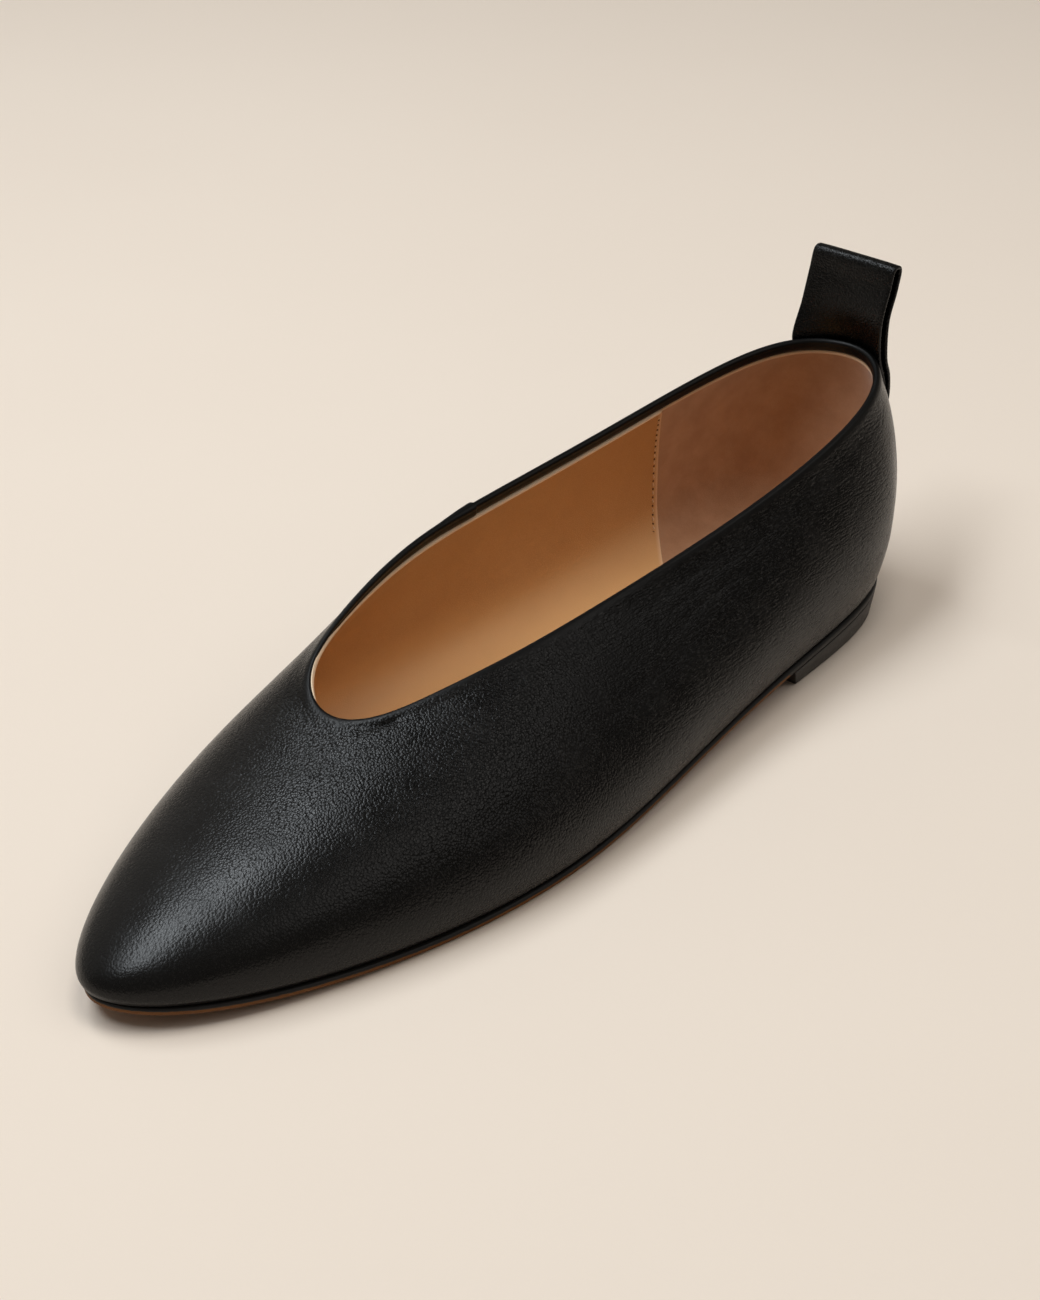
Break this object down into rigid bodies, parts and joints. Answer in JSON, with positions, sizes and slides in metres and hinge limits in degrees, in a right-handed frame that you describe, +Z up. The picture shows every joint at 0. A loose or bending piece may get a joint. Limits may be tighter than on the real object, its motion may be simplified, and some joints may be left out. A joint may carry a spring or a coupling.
{
  "type": "ballet flat",
  "caption": "Soft leather ballet flat for the left foot with an almond toe, a high U-shaped throat, a thin sole, a low heel block and a folded pull tab at the back.",
  "frame": {"origin": "on the floor, under the middle of the shoe's bounding box", "axes": "+Z up, the toe points to -Y and the outer side of the foot lies at +X"},
  "size_m": [0.0796, 0.2552, 0.0834],
  "materials": {
    "black_leather": "soft pebbled, half matte",
    "tan_sole": "smooth, edge painted black",
    "tan_lining": "smooth, matte",
    "black_heel": "matte"
  },
  "bodies": {
    "root": {"upper": "black_leather", "outsole": "tan_sole", "insole": "tan_lining", "heel": "black_heel", "pull_tab": "black_leather"}
  },
  "joints": []
}
